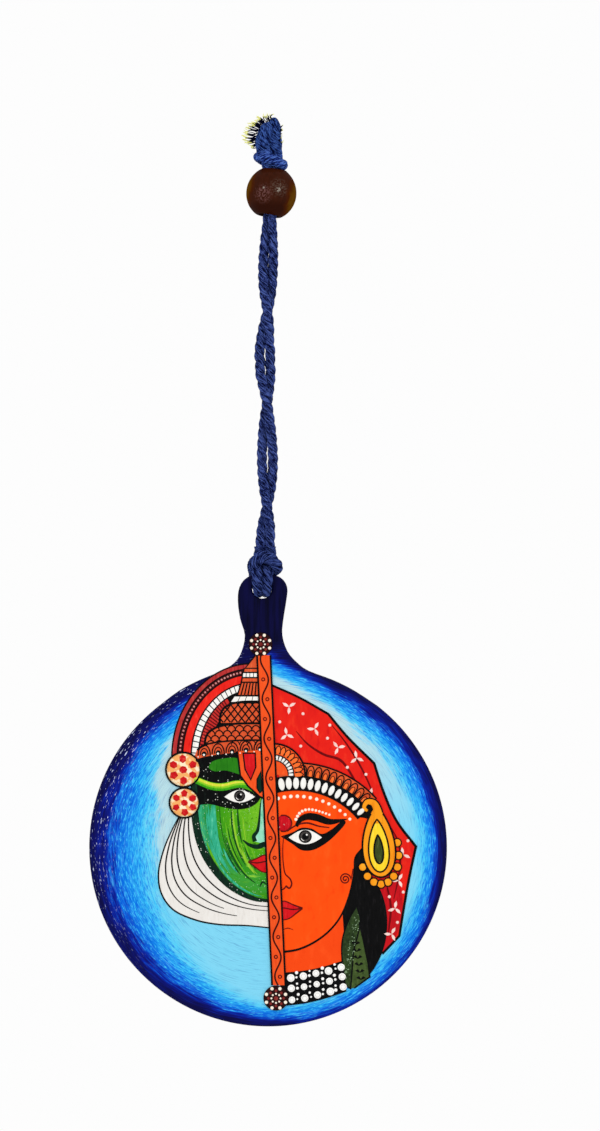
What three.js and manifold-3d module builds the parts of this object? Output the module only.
// A round painted wooden plaque with a short neck, hung on a doubled cotton cord with one wooden bead.
// Millimetres. The painted face looks along -Y, +Z is up, +X is to the right.
// The origin is the hanging point: between the two legs of the cord, just under the bead.

import * as THREE from "three";
import { mergeVertices } from "three/addons/utils/BufferGeometryUtils.js";
import Module from "manifold-3d";

// The board
const BOARD_THICKNESS = 5;
const EDGE_ROUNDING = 0.7;
const DISC_RADIUS = 76.8;
const DISC_X = -0.8;
const DISC_Z = -268.8;
const NECK_X = -2.8;
// The neck from the disc up: height, and the width to the left and to the right of NECK_X.
const NECK_PROFILE = [
  [-201.6, 36.4, 39.2],
  [-197.0, 27.6, 30.0],
  [-193.0, 18.0, 19.4],
  [-189.4, 12.4, 14.4],
  [-184.6, 9.4, 10.3],
  [-177.6, 8.0, 8.1],
  [-170.6, 10.0, 8.6],
  [-163.0, 11.0, 9.8],
  [-157.0, 10.3, 10.2],
  [-152.8, 7.0, 7.2],
];
const NECK_TOP = -150.6;
// The height where the disc's round edge runs over into the neck.
const SHOULDER_Z = -208;
const HOLE_X = -3.4;
const HOLE_Z = -157.6;
const HOLE_RADIUS = 4.3;
const ROUND_STEPS = 72;
const NECK_STEPS = 3;
const HOLE_STEPS = 28;

// The bead. It is a little askew: its top leans to the right by the tilt, in degrees.
const BEAD_X = 0.65;
const BEAD_Z = 12.5;
const BEAD_RADIUS = 10.75;
const BEAD_HEIGHT = 19.8;
const BORE_RADIUS = 4.6;
const BORE_ROUNDING = 0.7;
const BEAD_TILT = 7;
const BEAD_SIDES = 28;
const BEAD_STEPS = 13;

// The cord
const CORD_DIAMETER = 3.8;
const CORD_SIDES = 8;
const LEG_STEPS = 28;
// The two legs' route from the hitch up: height, middle line's X, turn of the pair in degrees,
// and how far each leg's centre is from the middle line.
const LEG_ROUTE = [
  [-140.4, -2.1, 0, 2.1],
  [-138.6, -2.1, 2, 2.1],
  [-131.5, -1.7, 32, 2.1],
  [-123.0, -1.3, 85, 2.1],
  [-113.0, -1.1, 142, 2.1],
  [-102.5, -1.1, 180, 2.35],
  [-93.0, -1.2, 207, 2.2],
  [-85.0, -1.3, 238, 2.1],
  [-77.4, -1.3, 272, 2.1],
  [-69.0, -1.7, 320, 2.1],
  [-59.5, -2.2, 360, 2.35],
  [-52.0, -2.2, 386, 2.1],
  [-45.0, -1.6, 415, 2.1],
  [-38.3, -1.1, 450, 2.1],
  [-29.0, -1.0, 500, 2.1],
  [-18.0, -0.8, 540, 2.1],
  [-9.0, -0.5, 568, 2.1],
  [0.0, -0.2, 595, 2.1],
  [7.0, 0.1, 608, 2.1],
  [14.0, 0.7, 612, 2.1],
  [23.0, 1.5, 615, 2.1],
];
// The hitch. Each strand: down the front, through the hole, up the back and over the top of the neck.
const LEFT_STRAND = [
  [-4.2, 0.0, -141.0],
  [-4.2, -0.3, -142.6],
  [-4.8, -2.4, -145.8],
  [-5.4, -4.5, -149.6],
  [-5.4, -4.9, -153.6],
  [-5.1, -3.9, -157.2],
  [-4.9, -1.6, -159.1],
  [-4.9, 1.6, -159.1],
  [-5.4, 3.9, -157.2],
  [-6.2, 4.9, -153.8],
  [-6.9, 4.4, -150.6],
  [-7.0, 1.4, -148.6],
  [-7.0, -2.2, -148.2],
];
const RIGHT_STRAND = [
  [0.0, 0.0, -141.0],
  [0.0, -0.3, -142.6],
  [-0.5, -2.2, -145.8],
  [-0.9, -4.5, -149.6],
  [-1.1, -4.9, -153.6],
  [-1.4, -3.9, -157.2],
  [-1.6, -1.6, -159.1],
  [-1.6, 1.6, -159.1],
  [-1.3, 3.9, -157.2],
  [-0.5, 4.9, -153.8],
  [1.0, 4.4, -150.6],
  [2.3, 1.4, -149.0],
  [2.8, -2.2, -148.8],
];
const COLLAR = [
  [-7.0, -1.9, -148.2],
  [-6.9, -4.8, -147.4],
  [-5.5, -6.7, -145.4],
  [-2.4, -7.2, -144.1],
  [0.8, -6.6, -145.3],
  [2.7, -4.8, -147.6],
  [2.8, -2.0, -148.8],
];
const STRAND_STEPS = 22;
const COLLAR_STEPS = 12;

// The knot above the bead, and the frayed ends above the knot
const KNOT_WRAP = [
  [5.3, 1.5, 24.6],
  [4.4, -3.6, 24.9],
  [0.2, -5.4, 26.2],
  [-4.0, -4.0, 27.6],
  [-5.5, 0.0, 28.0],
  [-4.0, 4.2, 27.6],
  [0.2, 5.2, 26.4],
  [4.2, 3.8, 25.2],
  [5.3, -0.6, 24.6],
];
const WRAP_DIAMETER = 4.4;
const KNOT_CORE = [
  [1.5, 0, 24.7],
  [0.3, 0, 28.0],
  [0.0, 0, 31.4],
];
const WRAP_STEPS = 20;
const CORE_STEPS = 2;
const CORE_DIAMETER = 8;
const LEFT_END = [
  [-3.1, -0.8, 32.2],
  [-3.2, -1.0, 36.0],
  [-2.1, -1.0, 39.4],
  [0.0, -0.8, 42.4],
];
const RIGHT_END = [
  [2.1, 0.7, 32.2],
  [1.7, 0.8, 36.4],
  [1.7, 0.8, 40.6],
  [2.1, 0.7, 44.6],
];
const END_DIAMETER = 5.6;
const END_STEPS = 4;
// The spray of loose threads: where it leaves the ends, how far it reaches, and its fan in degrees from +X.
const SPRAY_FOOT = [-3.0, -0.9, 36.4];
const SPRAY_LENGTH = 9;
const SPRAY_THICKNESS = 2.4;
const SPRAY_FROM = 84;
const SPRAY_TO = 190;
const SPRAY_ANGLES = 6;

const COLOURS = {
  board: "#123a9c",
  cord: "#2c3a80",
  bead: "#45190f",
  threads: "#3a4488",
};

const wasm = await Module();
wasm.setup();

function vector(point) {
  return new THREE.Vector3(...point);
}

function matt(colour, roughness) {
  return new THREE.MeshStandardMaterial({ color: colour, roughness, metalness: 0 });
}

function named(name, geometry, material) {
  const mesh = new THREE.Mesh(geometry, material);
  mesh.name = name;
  return mesh;
}

function solidOf(geometry) {
  const bare = geometry.clone();
  bare.deleteAttribute("normal");
  bare.deleteAttribute("uv");
  const merged = mergeVertices(bare, 1e-4);
  return new wasm.Manifold(new wasm.Mesh({
    numProp: 3,
    vertProperties: new Float32Array(merged.attributes.position.array),
    triVerts: new Uint32Array(merged.index.array),
  }));
}

function geometryOf(solid) {
  const mesh = solid.getMesh();
  const geometry = new THREE.BufferGeometry();
  geometry.setAttribute("position", new THREE.BufferAttribute(mesh.vertProperties, 3));
  geometry.setIndex(new THREE.BufferAttribute(mesh.triVerts, 1));
  geometry.computeVertexNormals();
  return geometry;
}

function joined(geometries) {
  const solids = geometries.map(solidOf);
  return geometryOf(solids.reduce((whole, next) => whole.add(next)));
}

// A round cord of the given diameter along a smooth curve through the points.
function cordAlong(points, diameter, steps) {
  const section = new THREE.Shape();
  section.absarc(0, 0, diameter / 2, 0, 2 * Math.PI);
  return new THREE.ExtrudeGeometry(section, {
    curveSegments: CORD_SIDES / 2,
    steps,
    extrudePath: new THREE.CatmullRomCurve3(points.map(vector), false, "centripetal"),
  });
}

function boardOutline() {
  const shoulderAngle = Math.asin((SHOULDER_Z - DISC_Z) / DISC_RADIUS);
  const disc = new THREE.Path();
  disc.absarc(DISC_X, DISC_Z, DISC_RADIUS, Math.PI - shoulderAngle, 2 * Math.PI + shoulderAngle);
  const round = disc.getPoints(ROUND_STEPS);
  const right = NECK_PROFILE.map(([z, , toRight]) => new THREE.Vector2(NECK_X + toRight, z));
  const left = NECK_PROFILE.map(([z, toLeft]) => new THREE.Vector2(NECK_X - toLeft, z)).reverse();
  const neck = [round.at(-1), ...right, new THREE.Vector2(NECK_X, NECK_TOP), ...left, round[0]];
  const spline = new THREE.SplineCurve(neck);
  return [...round.slice(1, -1), ...spline.getPoints(NECK_STEPS * (neck.length - 1))];
}

function makeBoard() {
  const outline = new THREE.Shape(boardOutline());
  const hole = new THREE.Path();
  hole.absarc(HOLE_X, HOLE_Z, HOLE_RADIUS, 0, 2 * Math.PI, true);
  outline.holes.push(hole);
  const geometry = new THREE.ExtrudeGeometry(outline, {
    curveSegments: HOLE_STEPS,
    depth: BOARD_THICKNESS - 2 * EDGE_ROUNDING,
    bevelThickness: EDGE_ROUNDING,
    bevelSize: EDGE_ROUNDING,
    bevelOffset: -EDGE_ROUNDING,
    bevelSegments: 2,
  });
  const board = named("plaque_board", geometry, matt(COLOURS.board, 0.5));
  board.rotation.x = Math.PI / 2;
  board.position.y = BOARD_THICKNESS / 2 - EDGE_ROUNDING;
  return board;
}

// The bead's half section: round outside, straight bore, with small roundings where they meet.
function beadProfile() {
  const halfHeight = BEAD_HEIGHT / 2;
  const mouth = Math.acos((BORE_RADIUS + BORE_ROUNDING) / BEAD_RADIUS);
  const outside = new THREE.Path();
  outside.absellipse(0, 0, BEAD_RADIUS, halfHeight / Math.sin(mouth), -mouth, mouth);
  const profile = outside.getPoints(BEAD_STEPS);
  profile.push(new THREE.Vector2(BORE_RADIUS, halfHeight - BORE_ROUNDING));
  profile.push(new THREE.Vector2(BORE_RADIUS, BORE_ROUNDING - halfHeight));
  profile.push(profile[0].clone());
  return profile;
}

function makeBead() {
  const bead = named("bead", new THREE.LatheGeometry(beadProfile(), BEAD_SIDES), matt(COLOURS.bead, 0.25));
  bead.rotation.set(Math.PI / 2, 0, -THREE.MathUtils.degToRad(BEAD_TILT));
  bead.position.set(BEAD_X, 0, BEAD_Z);
  return bead;
}

// One leg of the doubled cord: side is -1 for the leg that leaves the hitch on the left, 1 for the right.
function makeLeg(name, side) {
  const points = LEG_ROUTE.map(([z, x, degrees, spread]) => {
    const turn = THREE.MathUtils.degToRad(degrees);
    return [x + side * spread * Math.cos(turn), -side * spread * Math.sin(turn), z];
  });
  return named(name, cordAlong(points, CORD_DIAMETER, LEG_STEPS), matt(COLOURS.cord, 0.95));
}

function makeHitch() {
  const strands = [
    cordAlong(LEFT_STRAND, CORD_DIAMETER, STRAND_STEPS),
    cordAlong(RIGHT_STRAND, CORD_DIAMETER, STRAND_STEPS),
    cordAlong(COLLAR, CORD_DIAMETER, COLLAR_STEPS),
  ];
  return named("cord_hitch", joined(strands), matt(COLOURS.cord, 0.95));
}

function makeTopKnot() {
  const turns = [
    cordAlong(KNOT_WRAP, WRAP_DIAMETER, WRAP_STEPS),
    cordAlong(KNOT_CORE, CORE_DIAMETER, CORE_STEPS),
  ];
  return named("top_knot", joined(turns), matt(COLOURS.cord, 0.95));
}

function makeSpray() {
  const outline = new THREE.Shape();
  outline.moveTo(0, 0);
  for (let i = 0; i <= SPRAY_ANGLES; i += 1) {
    const degrees = SPRAY_FROM + ((SPRAY_TO - SPRAY_FROM) * i) / SPRAY_ANGLES;
    const angle = THREE.MathUtils.degToRad(degrees);
    outline.lineTo(SPRAY_LENGTH * Math.cos(angle), SPRAY_LENGTH * Math.sin(angle));
  }
  const geometry = new THREE.ExtrudeGeometry(outline, { depth: SPRAY_THICKNESS, bevelEnabled: false });
  geometry.translate(0, 0, -SPRAY_THICKNESS / 2);
  geometry.rotateX(Math.PI / 2);
  geometry.translate(...SPRAY_FOOT);
  return geometry;
}

function makeFrayedEnds() {
  const ends = [
    cordAlong(LEFT_END, END_DIAMETER, END_STEPS),
    cordAlong(RIGHT_END, END_DIAMETER, END_STEPS),
    makeSpray(),
  ];
  return named("frayed_ends", joined(ends), matt(COLOURS.threads, 0.95));
}

const plaque = new THREE.Group();
plaque.add(
  makeBoard(),
  makeHitch(),
  makeLeg("cord_leg_left", -1),
  makeLeg("cord_leg_right", 1),
  makeBead(),
  makeTopKnot(),
  makeFrayedEnds(),
);

export default plaque;
